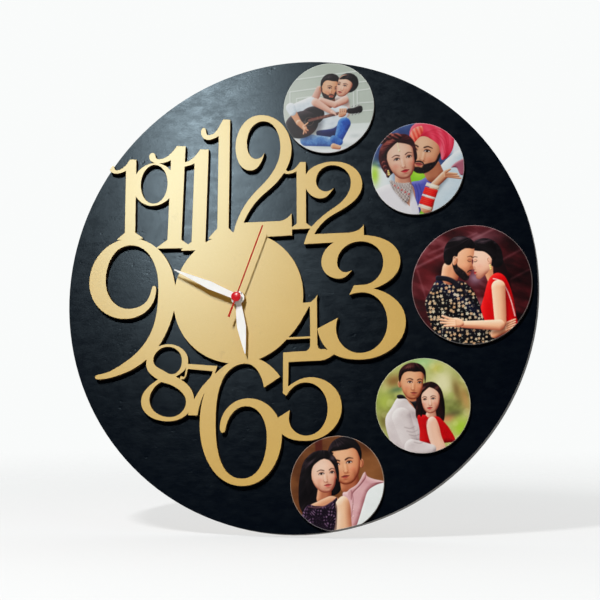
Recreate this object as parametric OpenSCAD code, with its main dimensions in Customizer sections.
/* [Board] */
// Diameter of the round backing board
board_d = 406; // [360:1:480]
// Thickness of the backing board
board_t = 9; // [7:0.5:12]

/* [Numerals] */
// Margin from the board's rim to the nine, level with the board's centre
numeral_margin = 19.7; // [18:0.1:40]
// Gap between the three and the large photo disc
photo_gap = 5.35; // [4:0.05:20]
// Thickness of the numeral cut-out
cutout_t = 5; // [4:0.5:7]

/* [Photo discs] */
// Diameter of each of the four small photo discs
small_disc_d = 79; // [66:0.2:92]
// Diameter of the large photo disc
large_disc_d = 100.6; // [84:0.2:118]
// Thickness of a photo disc's base
disc_t = 3.3; // [2.5:0.1:4.5]
// Thickness of the printed film on a disc
print_t = 0.3; // [0.2:0.05:0.6]

/* [Hands] */
// Length of the hour hand from the arbor to its tip
hour_l = 48.5; // [40:0.5:54]
// Greatest width of the hour hand's blade
hour_w = 7.8; // [6:0.1:9]
// Length of the minute hand from the arbor to its tip
minute_l = 61; // [55:0.5:72]
// Greatest width of the minute hand's blade
minute_w = 6.8; // [5:0.1:8]
// Length of the second hand from the arbor to its tip
second_l = 64.6; // [56:0.2:76]
// Length of the second hand's tail
second_tail = 18.3; // [14:0.1:24]
// Thickness of the hour and minute hands
hand_t = 0.5; // [0.4:0.05:0.8]
// Diameter of the domed cap over the arbor
cap_d = 8.2; // [7:0.1:10]
// Clockwise angle of the hour hand from twelve
hour_angle = 172.5; // [0:0.5:359.5]
// Clockwise angle of the minute hand from twelve
minute_angle = 296; // [0:1:359]
// Clockwise angle of the second hand from twelve
second_angle = 21.3; // [0:0.1:359.9]

/* [Movement] */
// Wall of the movement's case
case_wall = 1.4; // [1.2:0.1:2]
// Outer diameter of the threaded bushing
bush_d = 7.8; // [7.4:0.1:9]
// Outer diameter of the hour tube
hour_tube_d = 5; // [4.8:0.1:5.4]
// Outer diameter of the minute pipe
pipe_d = 3.2; // [3:0.1:3.4]
// Diameter of the second arbor
second_arbor_d = 1; // [0.8:0.05:1.1]
// Diameter of the battery cell
cell_d = 14.2; // [12:0.1:16]
// Length of the battery cell without its nub
cell_l = 49.2; // [44:0.1:52]
// Inner width of the case, or more where its contents need it
chamber_w = 53.2; // [50:0.2:60]

/* [Hanger] */
// Width of the raised keyhole hanger
hanger_w = 58; // [50:1:70]
// Height of the hanger's outer face over the back of the board
hanger_h = 6.2; // [5:0.1:8]
// Diameter of the hole for the wall screw's head
head_d = 9; // [8:0.1:10]
// Width of the slot for the wall screw's neck
neck_d = 4.5; // [4:0.1:5]

/* [Hidden] */
$fn = 32;

// Overrun of every cut
over = 0.5;
// Face-to-face clearance between pieces that move past each other
gap = 0.3;
// Radial clearance of a running fit
fit = 0.05;
// Radial clearance of a hole that a piece only passes through
loose = 0.15;

// The large photo disc: its inner edge and its centre's height, in shares of the board's diameter
large_share = [0.2416, -0.0025];
// Reach of the numerals to the left and right of their centre, in shares of the cut-out's width
reach_share = [0.4768, 0.5197];
cutout_w = ((0.5 + large_share[0]) * board_d - numeral_margin - photo_gap)
           / (reach_share[0] + reach_share[1]);
// Height of the cut-out's centre as a share of the board's diameter
cutout_up_share = -0.0034;
cutout_at = [numeral_margin + reach_share[0] * cutout_w - board_d / 2, cutout_up_share * board_d];
// Plain disc in the middle of the cut-out, and place of the arbor from the middle of that disc
hub_disc_share = 0.41;
arbor_share = [0.004, -0.005];
hub_disc_d = hub_disc_share * cutout_w;
hub_at = cutout_at + arbor_share * cutout_w;
// The small photo discs stand round the numerals: direction from the cut-out's centre in degrees,
// and distance from there to the disc's inner edge in shares of the cut-out's width
small_shares = [[63.45, 0.5062], [33.22, 0.5315], [-32.32, 0.5261], [-62.62, 0.511]];
large_at = [large_share[0] * board_d + large_disc_d / 2, large_share[1] * board_d];
small_at = [for (q = small_shares) cutout_at + along(q[1] * cutout_w + small_disc_d / 2, q[0])];

// Greatest distance between a curved edge of the numerals and its facets
curve_err = 0.08;

// Outlines of the numerals in shares of each one's height.
// Each row is x, y and the edge's heading in degrees, or x, y and its headings before and after
// a corner. A side marked flat is straight.
flat = 999;
twelve_two_share = [
    [-0.03, 0, flat], [0.46, 0, flat], [0.458, 0.178, flat, 234], [0.36, 0.122, 182, flat],
    [0.067, 0.127, flat, 66], [0.25, 0.362, 36], [0.463, 0.70, 90], [0.20, 1.0, 180],
    [0.004, 0.745, 270], [0.13, 0.548, 0], [0.243, 0.685, 72, 236], [0.18, 0.64, 180],
    [0.097, 0.77, 90], [0.225, 0.947, 0], [0.372, 0.72, 270], [0.20, 0.405, 221],
    [0.0, 0.11, 252, flat]];
three_share = [
    [0.32, 0, 0], [0.675, 0.29, 90], [0.42, 0.565, 165, 14], [0.64, 0.78, 90],
    [0.30, 1.005, 180], [0, 0.80, 270], [0.15, 0.66, 0], [0.25, 0.725, 48, 207],
    [0.20, 0.71, 180], [0.128, 0.79, 90], [0.31, 0.955, 0], [0.503, 0.78, 270],
    [0.34, 0.60, 180, flat], [0.262, 0.60, flat], [0.225, 0.525, flat, 20], [0.32, 0.54, 0],
    [0.528, 0.29, 270], [0.31, 0.053, 180], [0.112, 0.26, 90], [0.13, 0.345, 65, flat],
    [-0.04, 0.265, flat, 280], [0.03, 0.105, 311]];
nine_share = [
    [0.052, 0.018, 270], [0.08, 0, 0], [0.28, 0.042, 20], [0.43, 0.128, 38], [0.60, 0.38, 70],
    [0.637, 0.56, 90], [0.57, 0.83, 122], [0.30, 0.995, 180], [0.005, 0.69, 270],
    [0.28, 0.42, 0], [0.475, 0.53, 63], [0.495, 0.62, 88], [0.478, 0.645, 180],
    [0.463, 0.625, 262], [0.44, 0.56, 245], [0.30, 0.49, 180], [0.125, 0.70, 90],
    [0.30, 0.945, 0], [0.511, 0.64, 270], [0.42, 0.25, 234], [0.28, 0.12, 212],
    [0.08, 0.035, 184]];
six_share = [
    [0.365, 0.005, 0], [0.68, 0.40, 90], [0.40, 0.70, 180], [0.175, 0.48, 268],
    [0.198, 0.433, 0], [0.221, 0.46, 80], [0.385, 0.638, 0], [0.558, 0.39, 270],
    [0.36, 0.063, 180], [0.141, 0.48, 90], [0.20, 0.86, 64], [0.38, 0.98, 0],
    [0.538, 0.78, 280, flat], [0.67, 0.86, flat, 122], [0.52, 1.0, 153], [0.40, 1.03, 180],
    [0.14, 0.91, 223], [0.05, 0.76, 250], [0.01, 0.50, 270]];
five_share = [
    [0.003, 0.535, flat], [0.04, 0.505, flat, 60], [0.25, 0.645, 0], [0.505, 0.35, 270],
    [0.27, 0.055, 180], [0.068, 0.25, 90], [0.08, 0.345, 78, flat], [-0.11, 0.235, flat, 285],
    [0.02, 0.06, 325], [0.27, -0.002, 0], [0.662, 0.36, 90], [0.30, 0.70, 180],
    [0.063, 0.608, 214, flat], [0.07, 0.88, flat], [0.43, 0.88, flat, 0],
    [0.66, 1.0, 35, flat], [0.01, 0.99, flat]];
eight_share = [
    [0.39, 0, 0], [0.71, 0.27, 90], [0.47, 0.57, 153, 27], [0.635, 0.76, 90],
    [0.36, 0.995, 180], [0.075, 0.75, 270], [0.235, 0.545, 331, 211], [0.01, 0.27, 270]];
eight_top_share = [
    [0.17, 0.79, 90], [0.36, 0.962, 0], [0.552, 0.77, 270], [0.42, 0.603, 180],
    [0.30, 0.66, 152]];
eight_low_share = [
    [0.12, 0.29, 90], [0.20, 0.46, 50], [0.275, 0.51, 28, 346], [0.50, 0.41, 322],
    [0.605, 0.24, 270], [0.40, 0.053, 180]];
seven_share = [
    [0.20, 1.0, flat], [0.80, 0.93, flat], [0.755, 0.80, flat], [0.76, 0.79, flat],
    [0.72, 0.66, flat, 240], [0.53, 0.40, 243], [0.405, 0, 259, flat], [0.225, 0.012, flat],
    [0.26, 0.20, flat, 50], [0.50, 0.55, 50], [0.66, 0.715, 48], [0.71, 0.835, 75, flat],
    [0.23, 0.90, flat], [0.21, 0.88, flat, 265], [0.13, 0.705, 205, flat],
    [0.06, 0.70, flat], [0.065, 0.75, flat, 85], [0.085, 0.77, 0], [0.13, 0.752, 340],
    [0.165, 0.82, 82], [0.185, 0.91, 60, flat]];
four_share = [
    [0.47, -0.08, flat], [0.83, -0.08, flat], [0.83, 0.02, flat, 180], [0.74, 0.022, 172],
    [0.68, 0.11, 98, flat], [0.68, 0.93, flat], [0.695, 1.0, flat, 226],
    [0.56, 0.872, 200, flat], [0.35, 0.87, flat], [0.10, 0.60, flat], [0.05, 0.225, flat],
    [0.553, 0.225, flat], [0.55, 0.09, flat, 262], [0.47, 0, 200, flat]];
four_hole_share = [
    [0.553, 0.26, flat], [0.553, 0.79, flat], [0.54, 0.80, flat, 240], [0.16, 0.262, 222, flat]];
small_two_share = [
    [-0.035, 0.003, 249, flat], [0.70, 0, flat], [0.70, 0.20, flat, 243],
    [0.52, 0.111, 183, flat], [0.095, 0.118, flat, 62], [0.35, 0.355, 26], [0.69, 0.70, 90],
    [0.32, 1.0, 180], [-0.02, 0.78, 270], [0.19, 0.552, 0], [0.343, 0.675, 56, 222],
    [0.25, 0.635, 180], [0.123, 0.77, 90], [0.31, 0.955, 0], [0.552, 0.73, 270],
    [0.35, 0.435, 210], [0.06, 0.21, 227]];
one_share = [
    [-0.10, 0, flat], [0.24, 0, flat], [0.24, 0.012, flat], [0.138, 0.085, flat],
    [0.138, 0.995, flat], [0.052, 1.0, flat, 238], [-0.12, 0.873, 180], [-0.157, 0.905, 88],
    [-0.188, 0.937, 180], [-0.22, 0.90, 270], [-0.12, 0.832, 0], [0, 0.862, 28, flat],
    [0, 0.085, flat], [-0.10, 0.012, flat]];

// Place of each numeral's foot and its height, from the dial's centre,
// in shares of the cut-out's width
twelve_two_place_share = [-0.0065, 0.184, 0.388];
three_place_share = [0.2625, -0.211, 0.381];
nine_place_share = [-0.479, -0.2345, 0.442];
six_place_share = [-0.1255, -0.581, 0.3825];
five_place_share = [0.138, -0.4495, 0.2745];
eight_place_share = [-0.31, -0.3735, 0.24];
seven_place_share = [-0.194, -0.359, 0.1605];
four_place_share = [0.1305, -0.177, 0.1715];
small_two_place_share = [0.2175, 0.1535, 0.2545];
// The slim ones: foot, height, breadth factor and clockwise lean in degrees
ones_place_shares = [
    [-0.3625, 0.2022, 0.2563, 0.95, 0.75],
    [-0.2256, 0.1661, 0.3267, 1.0, 2.6],
    [-0.1477, 0.1552, 0.3213, 1.0, 2.2],
    [-0.065, 0.1877, 0.3791, 0.69, 1.1],
    [0.187, 0.2022, 0.2112, 1.0, 0.35]];
// The nought of ten: centre and half axes of its outer and inner edges
nought_out_share = [-0.2682, 0.3729, 0.0679, 0.0686];
nought_in_share = [-0.2675, 0.3736, 0.0433, 0.0621];
nought_steps = 72;

// Stack of fixings on the bushing, from the board's front face
washer_d = 12;
washer_t = 0.6;
nut_af = 10.5;
nut_t = 2.2;
bush_tip = 0.4;
gasket_d = 24;
gasket_t = 1;
bush_top = cutout_t + washer_t + nut_t + bush_tip;
case_z = -board_t - gasket_t;

// Hands: hub diameters, collars under the blades and the heights that the tubes stand proud
hour_hub_d = 11.5;
minute_hub_d = 8.8;
collar_wall = 1.1;
collar_h = 0.8;
tube_proud = 0.4;
pipe_shoulder = 0.3;
tube_gap = 0.7;
hour_hand_z = bush_top + 2 * tube_gap + tube_proud;
hour_tube_top = hour_hand_z + hand_t + tube_proud;
minute_hand_z = hour_tube_top + tube_gap + collar_h;
pipe_top = minute_hand_z + hand_t + tube_proud;
second_collar_h = 1.2;
second_hand_t = 0.4;
second_hand_z = pipe_top + tube_gap + second_collar_h;
second_pin = 0.6;
pipe_tail_d = pipe_d - 2 * pipe_shoulder;
arbor_top = second_hand_z + second_hand_t + second_pin;
cap_h = 1.6;
cap_rim = 0.6;
second_hub_d = 5;
second_tip_w = 1.1;
second_tail_w = 1.8;
dimple_d = 2.4;
dimple_at = 6.2;
dimple_deep = 0.25;
// Blade outlines: distance in shares of the length, half width in shares of half the width
hour_blade_share = [[0, 0.5], [0.10, 0.58], [0.30, 0.83], [0.52, 1], [0.76, 0.60], [1, 0.10]];
minute_blade_share = [[0, 0.74], [0.08, 0.74], [0.44, 1], [0.62, 0.69], [0.82, 0.37], [1, 0.15]];

// Battery bay
cell_gap = 0.4;
nub_d = 5.3;
nub_l = 1.1;
strip_t = 0.3;
strip_w = 1;
leaf_least = 1;
touch = 0.1;
crimp = 0.3;
cell_need = cell_l + nub_l + 2 * strip_t + 2 * touch;
bay_h = cell_d + 2 * cell_gap;
divider_t = 1.2;
front_t = 1.2;
case_round = 3;

// Teeth, with heights in shares of the module and widths in shares of the pitch
tip_high_share = 0.8;
root_low_share = 1.15;
tip_width_share = 0.22;
root_width_share = 0.60;
motion_mod = 0.5;
train_mod = 0.3;
cannon_n = 10;
motion_n = 30;
motion_pinion_n = 8;
hour_n = 32;
knob_n = 16;
second_pinion_n = 8;
third_n = 64;
third_pinion_n = 8;
centre_n = 60;
relay_pinion_n = 10;
second_n = 50;
rotor_pinion_n = 8;
relay_n = 48;

// Directions between arbors, in degrees anticlockwise from the right
motion_dir = 135;
third_dir = 0;
relay_dir = 75;
rotor_dir = 40;
centre_at = [0, 0];
motion_dist = motion_mod * (cannon_n + motion_n) / 2;
motion_at = along(motion_dist, motion_dir);
knob_at = motion_at + along(motion_mod * (motion_n + knob_n) / 2, motion_dir);
third_dist = train_mod * (second_pinion_n + third_n) / 2;
third_at = along(third_dist, third_dir);
centre_mod = 2 * third_dist / (third_pinion_n + centre_n);
relay_at = along(train_mod * (relay_pinion_n + second_n) / 2, relay_dir);
rotor_at = relay_at + along(train_mod * (rotor_pinion_n + relay_n) / 2, rotor_dir);

// Phase of each gear, so that all are in mesh
cannon_ph = motion_dir;
motion_ph = mesh_phase(motion_dir, cannon_ph, cannon_n, motion_n);
motion_pinion_ph = motion_dir;
hour_ph = mesh_phase(motion_dir + 180, motion_pinion_ph, motion_pinion_n, hour_n);
knob_ph = mesh_phase(motion_dir, motion_ph, motion_n, knob_n);
second_pinion_ph = third_dir;
third_ph = mesh_phase(third_dir, second_pinion_ph, second_pinion_n, third_n);
third_pinion_ph = third_dir;
centre_ph = mesh_phase(third_dir + 180, third_pinion_ph, third_pinion_n, centre_n);
relay_pinion_ph = relay_dir;
second_ph = mesh_phase(relay_dir + 180, relay_pinion_ph, relay_pinion_n, second_n);
rotor_pinion_ph = rotor_dir;
relay_ph = mesh_phase(rotor_dir + 180, rotor_pinion_ph, rotor_pinion_n, relay_n);

// Levels inside the case, as depths behind its front face
hour_lift = 1.4;
hour_wheel_t = 1;
hour_boss = 0.3;
motion_t = 1.2;
centre_drop = 1.2;
centre_t = 0.8;
third_drop = 1.4;
wheel_t = 0.6;
pinion_over = 0.2;
middle_t = 0.8;
relay_drop = 1.4;
boss_drop = 0.4;
hour_z = -front_t - hour_lift;
motion_z = hour_z - hour_wheel_t - hour_boss - gap;
centre_z = motion_z - motion_t - centre_drop;
third_z = centre_z - centre_t - third_drop;
middle_z = third_z - wheel_t - gap;
second_z = middle_z - middle_t - gap;
relay_z = second_z - wheel_t - relay_drop;
boss_z = relay_z - wheel_t - boss_drop;
cover_t = 1.4;
boss_least = 0.4;
depth = max(front_t + cell_d + 2 * gap, cover_t + boss_least - boss_z);
cover_z = -depth + cover_t;

// Arbors, their sockets and pillars
arbor_d = 0.8;
pivot_d = 1.2;
post_d = 1.5;
boss_d = 2.8;
relay_hub_d = 2.4;
pivot_l = 2;
rear_pivot = 1.2;
socket_end = 0.3;
third_boss_z = centre_z + pinion_over + boss_drop;
magnet_d = 7;
magnet_t = 2.4;
magnet_hub_d = 2;
magnet_gap = 0.6;
stator_t = 1;
rotor_boss_l = 4.2;
magnet_z = -front_t - rotor_boss_l - magnet_gap;
stator_z = magnet_z - (magnet_t - stator_t) / 2;
rim_w = 1.5;
leg_w = 2.8;
winding_d = 5.6;
coil_up = magnet_d / 2 + magnet_gap + rim_w + winding_d / 2 + gap;
coil_at = [rotor_at[0], rotor_at[1] + coil_up];
core_t = 1;
core_w = 2;
core_z = stator_z + core_t;
coil_mid_z = stator_z + core_t / 2;
bobbin_l = 19.2;
flange_t = 0.6;
flange_d = 6.4;
barrel_d = 3.8;
core_l = bobbin_l + 2 * (leg_w + gap);
coil_room = 0.6;
chamber_top = coil_at[1] + flange_d / 2 + coil_room;
third_room = 0.56;
third_tip_r = train_mod * (third_n / 2 + tip_high_share);
chamber_low = -third_tip_r - third_room;
bay_top = chamber_low - divider_t;
cell_y = bay_top - bay_h / 2;
cell_mid_z = -front_t - gap - cell_d / 2;
case_low = bay_top - bay_h - case_wall;
case_high = chamber_top + case_wall;
pillar_d = 3;
middle_edge = 0.7;

// Circuit board, from the chamber's upper right corner
pcb_w = 12.7;
pcb_h = 15;
pcb_t = 0.8;
pcb_side = 0.4;
pcb_post_d = 2.6;
pcb_post_in = 2.3;
pcb_z = second_z - pcb_t - gap / 2;
pcb_top = chamber_top - coil_room;
pcb_low = pcb_top - pcb_h;

// Pillars of the middle plate, clear of the wheels and of the circuit board
pillar_clear = pillar_d / 2 + gap;
pillar_right = third_at[0] + third_tip_r + third_room + pillar_d / 2;
pillar_low = chamber_low + pillar_clear + middle_edge;
knob_tip_r = motion_mod * (knob_n / 2 + tip_high_share);
centre_tip_r = centre_mod * (centre_n / 2 + tip_high_share);
pillars = [[knob_at[0] + knob_tip_r + pillar_clear, knob_at[1] + pillar_d],
           [pillar_right, pcb_low - pillar_clear - middle_edge],
           [-centre_tip_r - pillar_clear, pillar_low],
           [pillar_right, pillar_low]];

// Half of the case's inner width: the greatest of what the cell, the pillars and the motor need
post_need = rotor_at[0] + core_l / 2 + gap + pcb_post_d / 2 + pcb_post_in + pcb_side;
half = max(chamber_w / 2, (cell_need + leaf_least) / 2, pillar_right + pillar_clear + middle_edge,
           post_need);
case_w = 2 * (half + case_wall);
leaf_bow = 2 * half - cell_need;
pcb_right = half - pcb_side;
chip_d = 5;
chip_t = 1;
crystal_d = 1.5;
crystal_l = 5;
// Places on the circuit board, in shares of its width and height from its lower left corner
chip_share = [0.32, 0.36];
crystal_share = [0.24, 0.82];
tab_l = 2;
plate_half = 4;
plate_deep = 3.5;

// Setting knob and its well in the cover
knob_d = 12;
knob_t = 2.6;
knob_inset = 0.1;
knob_rim = 0.5;
knob_ribs = 20;
rib_d = 0.8;
rib_deep = 0.3;
well_gap = 1.5;
well_wall = 0.7;
well_floor = 1;
knob_shaft_d = 2.4;
knob_z = -depth + knob_inset;
well_z = knob_z + knob_t + gap;
knob_boss_l = 2.4;

// Snap tongues of the cover
tongue_w = 4;
tongue_l = 2;
tongue_t = 0.8;
// Places of the tongues along the top and the left side, in shares of the half width
tongue_top_share = [-0.68, 0.12];
tongue_side_share = [-0.22, 0.04];

// Hanger, screwed to the back of the board under its top edge
hanger_drop = 43;
hanger_tall = 22;
hanger_t = 1.2;
raised_w = 30;
hole_drop = 4;
slot_up = 7.5;
hanger_round = 3;
screw_d = 3;
screw_l = 7;
screw_head_d = 7;
screw_head_t = 1.8;
screw_in = 7;
hanger_y = board_d / 2 - hanger_drop;
hanger_back = -board_t - hanger_h;

function along(dist, dir) = dist * [cos(dir), sin(dir)];
function frac(v) = v - floor(v);
function mesh_phase(dir, phase_a, teeth_a, teeth_b) =
    dir + 180 + (frac((dir - phase_a) * teeth_a / 360) + 0.5) * 360 / teeth_b;

// Smooth outlines: each side is a cubic curve whose arms follow from the headings at its ends
function wrap(a) = a - 360 * floor((a + 180) / 360);
function arm(t, p) =
    (2 + sqrt(2) * (sin(t) - sin(p) / 16) * (sin(p) - sin(t) / 16) * (cos(t) - cos(p)))
    / (3 + 1.5 * (sqrt(5) - 1) * cos(t) + 1.5 * (3 - sqrt(5)) * cos(p));
function heading_out(q) = len(q) > 3 ? q[3] : q[2];
function side(q, r, h) =
    let (a = [q[0], q[1]] * h,
         b = [r[0], r[1]] * h,
         run = norm(b - a),
         dir = atan2(b[1] - a[1], b[0] - a[0]),
         t = heading_out(q) == flat ? 0 : wrap(heading_out(q) - dir),
         p = r[2] == flat ? 0 : wrap(dir - r[2]),
         straight = heading_out(q) == flat && r[2] == flat,
         turn = (abs(t) + abs(p)) * PI / 180,
         n = straight ? 1 : max(2, ceil(sqrt(run * turn / (8 * curve_err)))),
         c = a + run * arm(t, p) * [cos(dir + t), sin(dir + t)],
         d = b - run * arm(p, t) * [cos(dir - p), sin(dir - p)])
    [for (i = [0 : n - 1]) let (u = i / n, v = 1 - u)
        v * v * v * a + 3 * v * v * u * c + 3 * v * u * u * d + u * u * u * b];
function outline(shares, h) =
    [for (i = [0 : len(shares) - 1]) each side(shares[i], shares[(i + 1) % len(shares)], h)];
function widened(shares, k) = [for (q = shares) [q[0] * k, each [for (i = [1 : len(q) - 1]) q[i]]]];
function oval(share, size) =
    [for (i = [0 : nought_steps - 1]) let (a = 360 * i / nought_steps)
        size * [share[0] + share[2] * cos(a), share[1] + share[3] * sin(a)]];

// Dial coordinates: x to the right, y up and z out from the board's front face, with the board's
// centre at zero. The whole is then hung by the hole of its hanger.
module hung() {
    rotate([90, 0, 0]) translate([0, -hanger_y, -hanger_back]) children();
}
module on_hub(z = 0) {
    hung() translate([hub_at[0], hub_at[1], z]) children();
}
module in_case() {
    on_hub(case_z) children();
}
module at(place, z = 0) {
    translate([place[0], place[1], z]) children();
}
// A box between two corners
module block(a, b) {
    translate(a) cube(b - a);
}
module rounded_block(a, b, r) {
    d = [r, r, 0];
    block(a + [r, 0, 0], b - [r, 0, 0]);
    block(a + [0, r, 0], b - [0, r, 0]);
    for (x = [a[0] + r, b[0] - r], y = [a[1] + r, b[1] - r])
        translate([x, y, a[2]]) cylinder(r = r, h = b[2] - a[2]);
}
module numeral(shares, place) {
    translate([place[0], place[1]] * cutout_w) polygon(outline(shares, place[2] * cutout_w));
}
module gear(teeth, mod, phase, t, bore) {
    r = mod * teeth / 2;
    tip = r + tip_high_share * mod;
    root = r - root_low_share * mod;
    p = 360 / teeth;
    difference() {
        linear_extrude(t) polygon([for (i = [0 : teeth - 1]) each [
            along(root, phase + (i - root_width_share / 2) * p),
            along(tip, phase + (i - tip_width_share / 2) * p),
            along(tip, phase + (i + tip_width_share / 2) * p),
            along(root, phase + (i + root_width_share / 2) * p)]]);
        if (bore > 0) translate([0, 0, -over]) cylinder(d = bore, h = t + 2 * over, $fn = 24);
    }
}
module rod(d, from, to) {
    translate([0, 0, from]) cylinder(d = d, h = to - from, $fn = 20);
}
module ring(outer, inner, from, to) {
    difference() {
        rod(outer, from, to);
        rod(inner, from - over, to + over);
    }
}

module dial_board() {
    color([0.06, 0.06, 0.065]) hung() difference() {
        translate([0, 0, -board_t]) cylinder(d = board_d, h = board_t, $fn = 96);
        at(hub_at, -board_t - over) cylinder(d = bush_d + 2 * loose, h = board_t + 2 * over);
        for (s = [-1, 1])
            translate([s * (hanger_w / 2 - screw_in), hanger_y + hole_drop, -board_t - over])
                cylinder(d = screw_d, h = over + screw_l - hanger_t, $fn = 24);
    }
}

module numeral_face() {
    for (q = ones_place_shares)
        translate([q[0], q[1]] * cutout_w) rotate(-q[4])
            polygon(outline(widened(one_share, q[3]), q[2] * cutout_w));
    difference() {
        polygon(oval(nought_out_share, cutout_w));
        polygon(oval(nought_in_share, cutout_w));
    }
    numeral(twelve_two_share, twelve_two_place_share);
    numeral(three_share, three_place_share);
    numeral(nine_share, nine_place_share);
    numeral(six_share, six_place_share);
    numeral(five_share, five_place_share);
    numeral(seven_share, seven_place_share);
    numeral(small_two_share, small_two_place_share);
    difference() {
        numeral(eight_share, eight_place_share);
        numeral(eight_top_share, eight_place_share);
        numeral(eight_low_share, eight_place_share);
    }
    difference() {
        numeral(four_share, four_place_share);
        numeral(four_hole_share, four_place_share);
    }
}
module numeral_plate() {
    color([0.82, 0.66, 0.36]) hung() difference() {
        union() {
            // the hook of the ten ends flush with the board's rim
            intersection() {
                at(cutout_at) linear_extrude(cutout_t) numeral_face();
                translate([0, 0, -over]) cylinder(d = board_d, h = cutout_t + 2 * over, $fn = 96);
            }
            at(cutout_at) cylinder(d = hub_disc_d, h = cutout_t, $fn = 96);
        }
        at(hub_at) rod(bush_d + 2 * loose, -over, cutout_t + over);
    }
}

// A slice of a photo disc, trimmed flush with the board's rim
module photo_slice(place, d, z, t) {
    hung() intersection() {
        at(place, z) cylinder(d = d, h = t, $fn = 64);
        translate([0, 0, z]) cylinder(d = board_d, h = t, $fn = 96);
    }
}
module photo_base(place, d = small_disc_d) {
    color([0.16, 0.10, 0.07]) photo_slice(place, d, 0, disc_t);
}
module photo_print(place, d = small_disc_d) {
    photo_slice(place, d, disc_t, print_t);
}
module photo_base_1() { photo_base(small_at[0]); }
module photo_base_2() { photo_base(small_at[1]); }
module photo_base_3() { photo_base(large_at, large_disc_d); }
module photo_base_4() { photo_base(small_at[2]); }
module photo_base_5() { photo_base(small_at[3]); }
module photo_print_1() { color([0.72, 0.74, 0.66]) photo_print(small_at[0]); }
module photo_print_2() { color([0.78, 0.42, 0.34]) photo_print(small_at[1]); }
module photo_print_3() { color([0.45, 0.10, 0.12]) photo_print(large_at, large_disc_d); }
module photo_print_4() { color([0.52, 0.56, 0.34]) photo_print(small_at[2]); }
module photo_print_5() { color([0.42, 0.28, 0.22]) photo_print(small_at[3]); }

// Front shell of the movement: gear chamber above, battery bay below, bushing in front
module case_front() {
    color([0.09, 0.09, 0.095]) in_case() difference() {
        union() {
            difference() {
                rounded_block([-case_w / 2, case_low, -depth], [case_w / 2, case_high, 0],
                              case_round);
                block([-case_w, chamber_low, -depth - over],
                      [case_w, case_high + over, cover_z]);
                block([-half, chamber_low, -depth - over], [half, chamber_top, -front_t]);
                block([-half, bay_top - bay_h, -depth - over], [half, bay_top, -front_t]);
                // slots through the divider for the two contact strips
                block([half - 2 * strip_t, bay_top - over, pcb_z + pcb_t - touch],
                      [half, chamber_low + over, pcb_z + pcb_t + strip_w + touch]);
                block([-half, bay_top - over, pcb_z - 2 * strip_t - touch],
                      [-half + 2 * strip_t, chamber_low + over,
                       pcb_z - 2 * strip_t + strip_w + touch]);
            }
            for (p = pillars) at(p) rod(pillar_d, middle_z, -front_t + touch);
            for (y = [pcb_low + pcb_post_in, pcb_top - pcb_post_in])
                at([pcb_right - pcb_post_in, y])
                    rod(pcb_post_d, pcb_z + pcb_t, -front_t + touch);
            at(motion_at) rod(post_d, motion_z - motion_t - boss_drop, -front_t + touch);
            at(motion_at) rod(boss_d, -front_t - hour_lift + pinion_over + boss_drop,
                              -front_t + touch);
            at(third_at) ring(boss_d, arbor_d + 2 * fit, third_boss_z, -front_t + touch);
            at(rotor_at) ring(boss_d, arbor_d + 2 * fit, magnet_z + magnet_gap,
                              -front_t + touch);
            at(knob_at) ring(boss_d, pivot_d + 2 * fit, -front_t - knob_boss_l,
                             -front_t + touch);
            rod(bush_d, -touch, bush_top - case_z - bush_tip);
            translate([0, 0, bush_top - case_z - bush_tip])
                cylinder(d1 = bush_d, d2 = bush_d - 2 * bush_tip, h = bush_tip);
        }
        rod(hour_tube_d + 2 * fit, -front_t - over, bush_top - case_z + over);
    }
}

// Rear cover: sockets for the arbors, a well for the setting knob and snap tongues
module case_cover() {
    arbors = [third_at, relay_at, rotor_at];
    color([0.10, 0.10, 0.105]) in_case() difference() {
        union() {
            intersection() {
                rounded_block([-case_w / 2, case_low, -depth], [case_w / 2, case_high, cover_z],
                              case_round);
                block([-case_w, chamber_low, -depth - over],
                      [case_w, case_high + over, cover_z]);
            }
            for (p = arbors) at(p) rod(boss_d, cover_z - touch, boss_z);
            rod(boss_d, cover_z - touch, boss_z);
            at(knob_at) rod(knob_d + 2 * (well_gap + well_wall), cover_z - touch,
                            well_z + well_floor);
            for (x = tongue_top_share * half)
                block([x, chamber_top - tongue_t, cover_z - touch],
                      [x + tongue_w, chamber_top, cover_z + tongue_l]);
            for (y = tongue_side_share * half)
                block([-half, y, cover_z - touch],
                      [-half + tongue_t, y + tongue_w, cover_z + tongue_l]);
        }
        for (p = arbors) at(p) rod(arbor_d + 2 * fit, boss_z - pivot_l + gap, boss_z + over);
        rod(second_arbor_d + 2 * fit, boss_z - pivot_l + gap, boss_z + over);
        at(knob_at) rod(knob_d + 2 * well_gap, -depth - over, well_z);
        at(knob_at) rod(knob_shaft_d + 2 * fit, -depth, well_z + well_floor + over);
    }
}

module rubber_gasket() {
    color([0.05, 0.05, 0.05]) on_hub() ring(gasket_d, bush_d + 2 * loose, case_z, -board_t);
}
module brass_washer() {
    color([0.80, 0.62, 0.28]) on_hub()
        ring(washer_d, bush_d + 2 * fit, cutout_t, cutout_t + washer_t);
}
module hex_nut() {
    color([0.80, 0.62, 0.28]) on_hub(cutout_t + washer_t) difference() {
        cylinder(d = nut_af / cos(30), h = nut_t, $fn = 6);
        rod(bush_d, -over, nut_t + over);
    }
}

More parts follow.
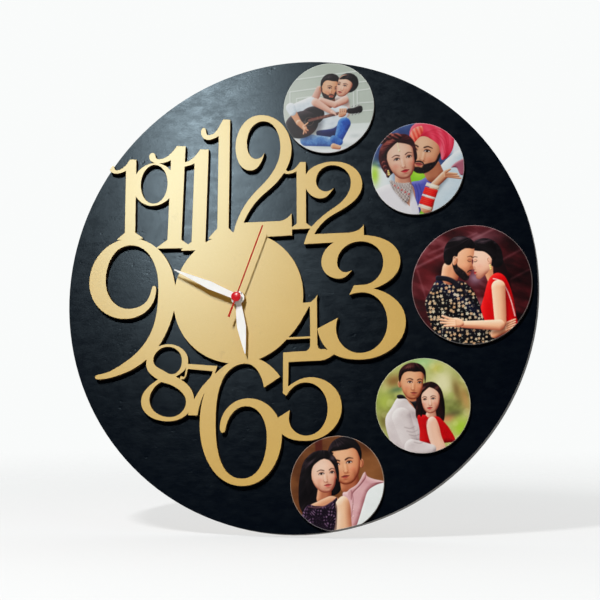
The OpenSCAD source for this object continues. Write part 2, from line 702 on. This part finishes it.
// Wheels that carry the hands
module hour_wheel() {
    color([0.86, 0.84, 0.78]) in_case() difference() {
        union() {
            translate([0, 0, hour_z - hour_wheel_t])
                gear(hour_n, motion_mod, hour_ph, hour_wheel_t, 0);
            rod(hour_tube_d + 2 * collar_wall, hour_z - touch, -front_t - gap);
            rod(hour_tube_d + 2 * collar_wall, hour_z - hour_wheel_t - hour_boss,
                hour_z - hour_wheel_t + touch);
            rod(hour_tube_d, hour_z, hour_tube_top - case_z);
        }
        rod(pipe_d + 2 * fit, motion_z - motion_t, hour_tube_top - case_z + over);
    }
}
module minute_pipe() {
    color([0.78, 0.66, 0.38]) in_case() difference() {
        union() {
            translate([0, 0, motion_z - motion_t])
                gear(cannon_n, motion_mod, cannon_ph, motion_t, 0);
            rod(pipe_d, motion_z - motion_t, pipe_top - case_z);
            rod(pipe_tail_d, centre_z - centre_t - boss_drop, motion_z - motion_t + touch);
        }
        rod(second_arbor_d + 2 * loose, centre_z - centre_t - over - boss_drop,
            pipe_top - case_z + over);
    }
}
module centre_wheel() {
    hole = pipe_tail_d + 2 * fit;
    color([0.80, 0.66, 0.36]) in_case() difference() {
        union() {
            translate([0, 0, centre_z - centre_t])
                gear(centre_n, centre_mod, centre_ph, centre_t, 0);
            rod(hole + 2 * collar_wall, centre_z - touch, motion_z - motion_t - gap);
        }
        rod(hole, centre_z - centre_t - over, motion_z);
    }
}
module motion_wheel() {
    color([0.86, 0.84, 0.78]) in_case() at(motion_at) difference() {
        union() {
            translate([0, 0, motion_z - motion_t])
                gear(motion_n, motion_mod, motion_ph, motion_t, 0);
            translate([0, 0, motion_z - touch])
                gear(motion_pinion_n, motion_mod, motion_pinion_ph,
                     hour_z + pinion_over - motion_z + touch, 0);
        }
        rod(post_d + 2 * fit, motion_z - motion_t - over, hour_z + over);
    }
}
module setting_knob() {
    color([0.12, 0.12, 0.12]) in_case() at(knob_at) {
        difference() {
            rod(knob_d, knob_z, knob_z + knob_t);
            for (i = [0 : knob_ribs - 1])
                at(along((knob_d + rib_d) / 2 - rib_deep, 360 * i / knob_ribs))
                    rod(rib_d, knob_z - over, knob_z + knob_t + over);
        }
        rod(knob_shaft_d, knob_z + knob_t - touch, motion_z - motion_t + touch);
        translate([0, 0, motion_z - motion_t]) gear(knob_n, motion_mod, knob_ph, motion_t, 0);
        rod(pivot_d, motion_z - touch, -front_t - knob_boss_l + pinion_over + rear_pivot);
    }
}

// Going train
module second_wheel() {
    color([0.84, 0.84, 0.80]) in_case() {
        rod(second_arbor_d, boss_z - rear_pivot, arbor_top - case_z);
        translate([0, 0, second_z - wheel_t]) gear(second_n, train_mod, second_ph, wheel_t, 0);
        translate([0, 0, third_z - wheel_t])
            gear(second_pinion_n, train_mod, second_pinion_ph, wheel_t + pinion_over, 0);
    }
}
module third_wheel() {
    color([0.86, 0.84, 0.78]) in_case() at(third_at) {
        rod(arbor_d, boss_z - rear_pivot, third_boss_z + pivot_l);
        translate([0, 0, third_z - wheel_t]) gear(third_n, train_mod, third_ph, wheel_t, 0);
        translate([0, 0, centre_z - centre_t - pinion_over])
            gear(third_pinion_n, centre_mod, third_pinion_ph, centre_t + 2 * pinion_over, 0);
        rod(boss_d, third_z - touch, centre_z - centre_t - pinion_over + touch);
    }
}
module relay_wheel() {
    color([0.86, 0.84, 0.78]) in_case() at(relay_at) {
        rod(arbor_d, boss_z - rear_pivot, middle_z - pinion_over);
        translate([0, 0, relay_z - wheel_t]) gear(relay_n, train_mod, relay_ph, wheel_t, 0);
        translate([0, 0, second_z - wheel_t - pinion_over])
            gear(relay_pinion_n, train_mod, relay_pinion_ph, wheel_t + pinion_over, 0);
        rod(relay_hub_d, relay_z - touch, second_z - wheel_t - pinion_over + touch);
    }
}
module rotor_pinion() {
    color([0.84, 0.84, 0.80]) in_case() at(rotor_at) {
        rod(arbor_d, boss_z - rear_pivot, magnet_z + magnet_gap + pivot_l);
        translate([0, 0, boss_z + gap])
            gear(rotor_pinion_n, train_mod, rotor_pinion_ph,
                 relay_z + pinion_over - boss_z - gap, 0);
        rod(magnet_hub_d, magnet_z - magnet_t, magnet_z);
    }
}
module rotor_magnet() {
    color([0.30, 0.30, 0.31]) in_case() at(rotor_at)
        ring(magnet_d, magnet_hub_d, magnet_z - magnet_t, magnet_z);
}
module middle_plate() {
    color([0.88, 0.88, 0.86]) in_case() difference() {
        translate([0, 0, middle_z - middle_t]) linear_extrude(middle_t) hull() {
            for (p = pillars) translate(p) circle(d = pillar_d + 2 * middle_edge, $fn = 32);
            translate(rotor_at) circle(d = magnet_d, $fn = 32);
        }
        for (p = [relay_at, rotor_at])
            at(p) rod(arbor_d + 2 * fit, middle_z - middle_t - over, middle_z + over);
        at(third_at) rod(arbor_d + 2 * gap, middle_z - middle_t - over, middle_z + over);
        rod(second_arbor_d + 2 * gap, middle_z - middle_t - over, middle_z + over);
    }
}

// Stepping motor
module stator() {
    color([0.62, 0.63, 0.64]) in_case() at(rotor_at, stator_z - stator_t) difference() {
        union() {
            cylinder(d = magnet_d + 2 * magnet_gap + 2 * rim_w, h = stator_t);
            block([-core_l / 2, -leg_w / 2, 0], [core_l / 2, leg_w / 2, stator_t]);
            for (s = [-1, 1])
                block([s * (core_l - leg_w) / 2 - leg_w / 2, -leg_w / 2, 0],
                      [s * (core_l - leg_w) / 2 + leg_w / 2, coil_up + core_w, stator_t]);
        }
        rod(magnet_d + 2 * magnet_gap, -over, stator_t + over);
    }
}
module coil_core() {
    color([0.66, 0.67, 0.68]) in_case() at(coil_at)
        block([-core_l / 2, -core_w / 2, stator_z],
              [core_l / 2, core_w / 2, stator_z + core_t]);
}
module coil_axis() {
    in_case() at(coil_at, coil_mid_z) rotate([0, 90, 0]) children();
}
module coil_bobbin() {
    color([0.90, 0.88, 0.80]) coil_axis() difference() {
        union() {
            rod(barrel_d, -bobbin_l / 2, bobbin_l / 2);
            for (x = [-bobbin_l / 2, bobbin_l / 2 - flange_t]) rod(flange_d, x, x + flange_t);
        }
        block([-core_t / 2, -core_w / 2, -bobbin_l], [core_t / 2, core_w / 2, bobbin_l]);
    }
}
module coil_winding() {
    color([0.72, 0.36, 0.16]) coil_axis()
        ring(winding_d, barrel_d, flange_t - bobbin_l / 2, bobbin_l / 2 - flange_t);
}
module circuit_board() {
    color([0.10, 0.34, 0.18]) in_case()
        block([pcb_right - pcb_w, pcb_low, pcb_z], [pcb_right, pcb_top, pcb_z + pcb_t]);
}
module on_pcb(share) {
    in_case() at([pcb_right - pcb_w + share[0] * pcb_w, pcb_low + share[1] * pcb_h],
                 pcb_z) children();
}
module circuit_chip() {
    color([0.04, 0.04, 0.045]) on_pcb(chip_share) intersection() {
        translate([0, 0, -chip_t]) cylinder(d = chip_d, h = chip_t);
        translate([0, 0, chip_d - chip_t]) sphere(r = chip_d);
    }
}
module crystal() {
    color([0.75, 0.76, 0.78]) on_pcb(crystal_share)
        translate([0, 0, -crystal_d / 2]) rotate([0, 90, 0]) rod(crystal_d, 0, crystal_l);
}

// Contact at the cell's nub, with its strip to the circuit board's front face
module contact_plus() {
    low = pcb_z + pcb_t;
    color([0.78, 0.78, 0.76]) in_case() {
        block([half - strip_t, cell_y - plate_half, cell_mid_z - plate_deep],
              [half, cell_y + plate_half, cell_mid_z + plate_deep]);
        block([half - strip_t, cell_y, low],
              [half, pcb_low + tab_l, low + strip_w]);
        block([pcb_right - pcb_post_in + pcb_post_d / 2 + gap, pcb_low, low],
              [half, pcb_low + tab_l, low + strip_t]);
    }
}
// Contact at the cell's flat end: a bowed leaf, and a strip to the circuit board's rear face
module contact_minus() {
    low = pcb_z - 2 * strip_t;
    turn_x = half - 2 * strip_t;
    bow = [[0, -plate_half + strip_t], [leaf_bow, 0], [0, plate_half - strip_t],
           [-strip_t, plate_half - strip_t], [leaf_bow - strip_t, 0],
           [-strip_t, -plate_half + strip_t]];
    color([0.78, 0.78, 0.76]) in_case() {
        block([-half, cell_y - plate_half, low], [-half + strip_t, cell_y + plate_half,
                                                  cell_mid_z + plate_deep]);
        translate([-half + strip_t, cell_y, cell_mid_z - plate_deep / 2])
            linear_extrude(plate_deep) polygon(bow);
        block([-half, cell_y, low], [-half + strip_t, chamber_low + strip_t, low + strip_w]);
        block([-half, chamber_low, low], [turn_x, chamber_low + strip_t, low + strip_w]);
        block([turn_x - strip_t, chamber_low, low],
              [turn_x, pcb_low - gap, low + strip_w]);
        block([turn_x - tab_l, pcb_low - 2 * gap, pcb_z - strip_t],
              [turn_x, pcb_low + tab_l, pcb_z]);
    }
}
module battery() {
    color([0.16, 0.17, 0.18]) in_case()
        translate([-half + strip_t + leaf_bow + touch, cell_y, cell_mid_z]) rotate([0, 90, 0]) {
            rod(cell_d - 2 * crimp, 0, cell_l);
            rod(cell_d, crimp, cell_l - 2 * crimp);
            rod(nub_d, cell_l - touch, cell_l + nub_l);
        }
}

// A hand's blade, pointing to twelve
module blade(shares, length, width) {
    polygon([each [for (q = shares) [-q[1] * width / 2, q[0] * length]],
             each [for (i = [len(shares) - 1 : -1 : 0])
                 [shares[i][1] * width / 2, shares[i][0] * length]]]);
}
module hand(z, angle) {
    on_hub(z) rotate(-angle) children();
}
module hour_hand() {
    color([0.93, 0.93, 0.92]) hand(hour_hand_z, hour_angle) difference() {
        union() {
            linear_extrude(hand_t) blade(hour_blade_share, hour_l, hour_w);
            rod(hour_hub_d, 0, hand_t);
            rod(hour_tube_d + 2 * collar_wall, -collar_h, touch);
        }
        rod(hour_tube_d, -collar_h - over, hand_t + over);
        translate([0, dimple_at, hand_t - dimple_deep]) cylinder(d = dimple_d, h = hand_t);
    }
}
module minute_hand() {
    color([0.93, 0.93, 0.92]) hand(minute_hand_z, minute_angle) difference() {
        union() {
            linear_extrude(hand_t) blade(minute_blade_share, minute_l, minute_w);
            rod(minute_hub_d, 0, hand_t);
            rod(pipe_d + 2 * collar_wall, -collar_h, touch);
        }
        rod(pipe_d, -collar_h - over, hand_t + over);
    }
}
module second_hand() {
    color([0.78, 0.07, 0.08]) hand(second_hand_z, second_angle) difference() {
        union() {
            linear_extrude(second_hand_t) polygon([
                [-second_tail_w / 2, -second_tail], [second_tail_w / 2, -second_tail],
                [second_tip_w / 2, 0], [second_tip_w / 2, second_l],
                [-second_tip_w / 2, second_l], [-second_tip_w / 2, 0]]);
            rod(second_hub_d, 0, second_hand_t);
            rod(second_arbor_d + 2 * collar_wall, -second_collar_h, touch);
        }
        rod(second_arbor_d, -second_collar_h - over, second_hand_t + over);
    }
}
module second_cap() {
    dome = cap_h - cap_rim;
    dome_r = (cap_d * cap_d / 4 + dome * dome) / (2 * dome);
    color([0.80, 0.06, 0.07]) hand(second_hand_z + second_hand_t, second_angle) difference() {
        intersection() {
            cylinder(d = cap_d, h = cap_h);
            translate([0, 0, cap_h - dome_r]) sphere(r = dome_r);
        }
        rod(second_arbor_d, -over, second_pin);
    }
}

// Raised hanger on the back, with a keyhole for the head and neck of a wall screw
module hanger_plate() {
    low = hole_drop - hanger_tall / 2;
    high = hole_drop + hanger_tall / 2;
    color([0.70, 0.71, 0.72]) hung() translate([0, hanger_y, hanger_back]) difference() {
        union() {
            block([-raised_w / 2, low, 0], [raised_w / 2, high, hanger_t]);
            for (s = [-1, 1]) {
                block([s * (raised_w - hanger_t) / 2 - hanger_t / 2, low, 0],
                      [s * (raised_w - hanger_t) / 2 + hanger_t / 2, high, hanger_h]);
                mirror([s > 0 ? 0 : 1, 0, 0])
                    rounded_block([raised_w / 2 - hanger_t, low, hanger_h - hanger_t],
                                  [hanger_w / 2, high, hanger_h], hanger_t);
            }
        }
        translate([0, 0, -over]) cylinder(d = head_d, h = hanger_t + 2 * over);
        block([-neck_d / 2, 0, -over], [neck_d / 2, slot_up, hanger_t + over]);
        translate([0, slot_up, -over]) cylinder(d = neck_d, h = hanger_t + 2 * over);
        for (s = [-1, 1])
            translate([s * (hanger_w / 2 - screw_in), hole_drop, hanger_h - hanger_t - over])
                cylinder(d = screw_d, h = hanger_t + 2 * over, $fn = 24);
    }
}
module hanger_screws() {
    color([0.62, 0.63, 0.64]) hung() for (s = [-1, 1])
        translate([s * (hanger_w / 2 - screw_in), hanger_y + hole_drop, -board_t - hanger_t]) {
            rod(screw_d, -touch, screw_l);
            translate([0, 0, -screw_head_t])
                cylinder(d1 = screw_head_d - screw_head_t, d2 = screw_head_d, h = screw_head_t);
        }
}

dial_board();
numeral_plate();
photo_base_1();
photo_base_2();
photo_base_3();
photo_base_4();
photo_base_5();
photo_print_1();
photo_print_2();
photo_print_3();
photo_print_4();
photo_print_5();
case_front();
case_cover();
rubber_gasket();
brass_washer();
hex_nut();
hour_wheel();
minute_pipe();
centre_wheel();
motion_wheel();
setting_knob();
second_wheel();
third_wheel();
relay_wheel();
rotor_pinion();
rotor_magnet();
middle_plate();
stator();
coil_core();
coil_bobbin();
coil_winding();
circuit_board();
circuit_chip();
crystal();
contact_plus();
contact_minus();
battery();
hour_hand();
minute_hand();
second_hand();
second_cap();
hanger_plate();
hanger_screws();
